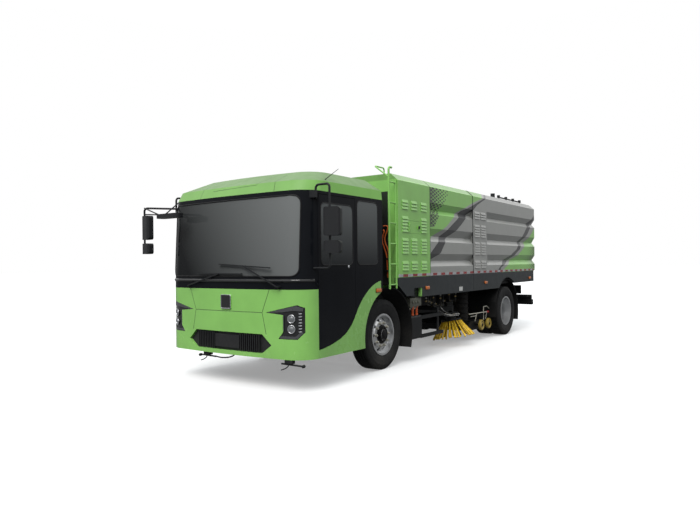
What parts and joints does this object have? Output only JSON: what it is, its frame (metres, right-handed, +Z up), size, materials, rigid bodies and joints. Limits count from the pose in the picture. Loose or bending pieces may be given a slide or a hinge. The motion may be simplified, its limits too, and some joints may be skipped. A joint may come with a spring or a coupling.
{
  "type": "electric street sweeper truck",
  "caption": "Two-axle electric street sweeper truck with low-entry cab, water tank body, tipping hopper with rear door, side brushes and suction nozzle",
  "frame": {"origin": "on the ground below the middle of the truck", "axes": "+X to the vehicle left, +Y to the rear, +Z up"},
  "size_m": [3.2664, 8.994, 2.9927],
  "materials": {
    "chassis_paint": "satin paint",
    "axle_paint": "painted casting",
    "wheel_silver": "silver paint",
    "tyre_rubber": "matt rubber",
    "cab_green": "gloss paint",
    "cab_black": "gloss black paint",
    "glass_clear": "tinted glass",
    "lamp_glass": "clear lens over black housing",
    "black_plastic": "grained plastic",
    "body_green": "gloss paint",
    "body_grey": "gloss paint",
    "skirt_dark": "satin paint",
    "seat_fabric": "woven cloth",
    "motor_block": "cast housing",
    "hose_rubber": "ribbed hose",
    "cable_orange": "cable sheath",
    "bristle_yellow": "wire tufts",
    "wheel_yellow": "cast polyurethane",
    "cylinder_steel": "ground steel"
  },
  "bodies": {
    "chassis": {"frame_rails": "chassis_paint", "front_axle": "axle_paint", "rear_axle": "axle_paint", "leaf_springs": "chassis_paint", "drive_motor": "motor_block", "cab_shell": "cab_black", "cab_nose": "cab_green", "arch_bands": "cab_green", "roof_cap": "cab_green", "quarter_windows": "glass_clear", "windscreen": "glass_clear", "headlamps": "lamp_glass", "front_grille": "black_plastic", "wipers": "black_plastic", "mirror_left": "black_plastic", "mirror_right": "black_plastic", "dashboard": "black_plastic", "seats": "seat_fabric", "service_housing": "body_green", "water_tank": "body_green", "front_skirts": "skirt_dark", "front_mudguards": "black_plastic", "rear_mudguards": "black_plastic", "side_guards": "chassis_paint", "ladder": "cab_green", "pipe_frame": "chassis_paint", "power_cables": "cable_orange", "suction_nozzle": "chassis_paint", "suction_hoses": "hose_rubber", "underrun_bar": "chassis_paint"},
    "knuckle_left": {"knuckle_left": "axle_paint"},
    "knuckle_right": {"knuckle_right": "axle_paint"},
    "front_wheel_left": {"front_rim_left": "wheel_silver", "front_tyre_left": "tyre_rubber"},
    "front_wheel_right": {"front_rim_right": "wheel_silver", "front_tyre_right": "tyre_rubber"},
    "rear_wheels_left": {"rear_rims_left": "wheel_silver", "rear_tyres_left": "tyre_rubber"},
    "rear_wheels_right": {"rear_rims_right": "wheel_silver", "rear_tyres_right": "tyre_rubber"},
    "door_left": {"cab_door_left": "cab_black", "door_glass_left": "glass_clear"},
    "door_right": {"cab_door_right": "cab_black", "door_glass_right": "glass_clear"},
    "access_door": {"access_door": "body_green"},
    "hopper": {"hopper": "body_grey", "hopper_skirts": "skirt_dark", "roof_rail": "black_plastic"},
    "hopper_door": {"hopper_door": "body_grey"},
    "tip_cylinder": {"tip_cylinder": "chassis_paint"},
    "tip_rod": {"tip_rod": "cylinder_steel"},
    "brush_arm_left": {"brush_arm_left": "chassis_paint"},
    "brush_arm_right": {"brush_arm_right": "chassis_paint"},
    "brush_left": {"brush_left": "bristle_yellow"},
    "brush_right": {"brush_right": "bristle_yellow"},
    "nozzle_wheel_front_left": {"nozzle_wheel_front_left": "wheel_yellow"},
    "nozzle_wheel_rear_left": {"nozzle_wheel_rear_left": "wheel_yellow"},
    "nozzle_wheel_front_right": {"nozzle_wheel_front_right": "wheel_yellow"},
    "nozzle_wheel_rear_right": {"nozzle_wheel_rear_right": "wheel_yellow"}
  },
  "joints": [
    {"name": "steer_left", "type": "hinge", "parent": "chassis", "child": "knuckle_left", "pos_m": [0.85, -2.273, 0.51], "axis": [0, 0, 1], "range_deg": [-35, 35]},
    {"name": "steer_right", "type": "hinge", "parent": "chassis", "child": "knuckle_right", "pos_m": [-0.85, -2.273, 0.51], "axis": [0, 0, 1], "range_deg": [-35, 35]},
    {"name": "front_wheel_left_spin", "type": "hinge", "parent": "knuckle_left", "child": "front_wheel_left", "pos_m": [1.01, -2.273, 0.51], "axis": [1, 0, 0], "continuous": true},
    {"name": "front_wheel_right_spin", "type": "hinge", "parent": "knuckle_right", "child": "front_wheel_right", "pos_m": [-1.01, -2.273, 0.51], "axis": [1, 0, 0], "continuous": true},
    {"name": "rear_wheels_left_spin", "type": "hinge", "parent": "chassis", "child": "rear_wheels_left", "pos_m": [0.93, 2.577, 0.51], "axis": [1, 0, 0], "continuous": true},
    {"name": "rear_wheels_right_spin", "type": "hinge", "parent": "chassis", "child": "rear_wheels_right", "pos_m": [-0.93, 2.577, 0.51], "axis": [1, 0, 0], "continuous": true},
    {"name": "cab_door_left", "type": "hinge", "parent": "chassis", "child": "door_left", "pos_m": [1.262, -3.953, 1.29], "axis": [0, 0, -1], "range_deg": [0, 70]},
    {"name": "cab_door_right", "type": "hinge", "parent": "chassis", "child": "door_right", "pos_m": [-1.262, -3.953, 1.29], "axis": [0, 0, 1], "range_deg": [0, 70]},
    {"name": "access_door_hinge", "type": "hinge", "parent": "chassis", "child": "access_door", "pos_m": [1.262, -1.6965, 2.0945], "axis": [0, 0, -1], "range_deg": [0, 110]},
    {"name": "hopper_tip", "type": "hinge", "parent": "chassis", "child": "hopper", "pos_m": [0, 4.087, 1.05], "axis": [-1, 0, 0], "range_deg": [0, 40]},
    {"name": "hopper_door_hinge", "type": "hinge", "parent": "hopper", "child": "hopper_door", "pos_m": [0, 4.339, 2.908], "axis": [1, 0, 0], "range_deg": [0, 75]},
    {"name": "tip_cylinder_pivot", "type": "hinge", "parent": "chassis", "child": "tip_cylinder", "pos_m": [0, 1.687, 0.72], "axis": [1, 0, 0], "range_deg": [0, 20.4]},
    {"name": "tip_rod_slide", "type": "slide", "parent": "tip_cylinder", "child": "tip_rod", "axis": [0, 0.9303, 0.3668], "range_m": [0, 0.7764]},
    {"name": "brush_arm_left_swing", "type": "hinge", "parent": "chassis", "child": "brush_arm_left", "pos_m": [0.52, -0.323, 0.69], "axis": [0, 0, -1], "range_deg": [0, 30]},
    {"name": "brush_arm_right_swing", "type": "hinge", "parent": "chassis", "child": "brush_arm_right", "pos_m": [-0.52, -0.323, 0.69], "axis": [0, 0, 1], "range_deg": [0, 30]},
    {"name": "brush_left_spin", "type": "hinge", "parent": "brush_arm_left", "child": "brush_left", "pos_m": [0.87, 0.577, 0.455], "axis": [-0.1736, 0, 0.9848], "continuous": true},
    {"name": "brush_right_spin", "type": "hinge", "parent": "brush_arm_right", "child": "brush_right", "pos_m": [-0.87, 0.577, 0.455], "axis": [0.1736, 0, 0.9848], "continuous": true},
    {"name": "nozzle_wheel_front_left_spin", "type": "hinge", "parent": "chassis", "child": "nozzle_wheel_front_left", "pos_m": [1.11, 1.447, 0.305], "axis": [1, 0, 0], "continuous": true},
    {"name": "nozzle_wheel_rear_left_spin", "type": "hinge", "parent": "chassis", "child": "nozzle_wheel_rear_left", "pos_m": [1.11, 1.817, 0.305], "axis": [1, 0, 0], "continuous": true},
    {"name": "nozzle_wheel_front_right_spin", "type": "hinge", "parent": "chassis", "child": "nozzle_wheel_front_right", "pos_m": [-1.11, 1.447, 0.305], "axis": [1, 0, 0], "continuous": true},
    {"name": "nozzle_wheel_rear_right_spin", "type": "hinge", "parent": "chassis", "child": "nozzle_wheel_rear_right", "pos_m": [-1.11, 1.817, 0.305], "axis": [1, 0, 0], "continuous": true}
  ],
  "couplings": [
    {"joint": "steer_right", "follows": "steer_left", "ratio": 1},
    {"joint": "tip_cylinder_pivot", "follows": "hopper_tip", "ratio": 0.51},
    {"joint": "tip_rod_slide", "follows": "hopper_tip", "m_per_rad": 1.1121}
  ]
}
